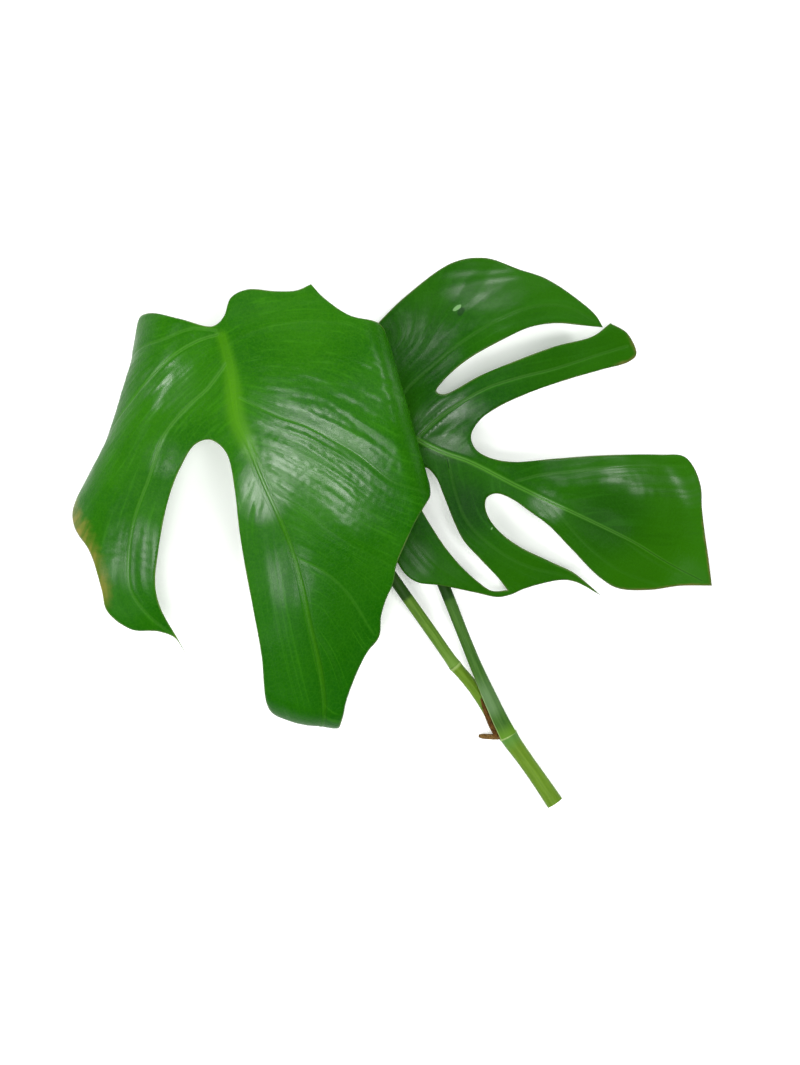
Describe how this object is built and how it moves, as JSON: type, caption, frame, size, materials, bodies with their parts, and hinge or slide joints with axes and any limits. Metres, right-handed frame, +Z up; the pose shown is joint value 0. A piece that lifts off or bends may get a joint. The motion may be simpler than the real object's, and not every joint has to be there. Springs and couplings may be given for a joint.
{
  "type": "monstera cutting",
  "caption": "Cut monstera stem lying flat, with large drooping heart-shaped leaves that have splits and lobes, round petioles, an aerial root stub and a dried sheath.",
  "frame": {"origin": "on the surface that the cutting lies on, under the middle of its bounding box", "axes": "+Z up from that surface, +X from the front leaf towards the back leaf's far tip, +Y away from the stem's cut end"},
  "size_m": [0.3503, 0.302, 0.0653],
  "materials": {
    "leaf_front": "waxy, glossy bright green leaf",
    "leaf_back": "waxy, glossy dark green leaf",
    "lower_internode": "smooth yellow-green stem",
    "upper_internode": "smooth yellow-green stem",
    "petiole_front": "smooth light green leaf stalk",
    "petiole_back": "smooth mid green leaf stalk",
    "aerial_root": "dry brown root skin",
    "dried_sheath": "dry brown papery sheath"
  },
  "bodies": {
    "root": {"leaf_front": "leaf_front", "leaf_back": "leaf_back", "lower_internode": "lower_internode", "upper_internode": "upper_internode", "petiole_front": "petiole_front", "petiole_back": "petiole_back", "aerial_root": "aerial_root", "dried_sheath": "dried_sheath"}
  },
  "joints": []
}
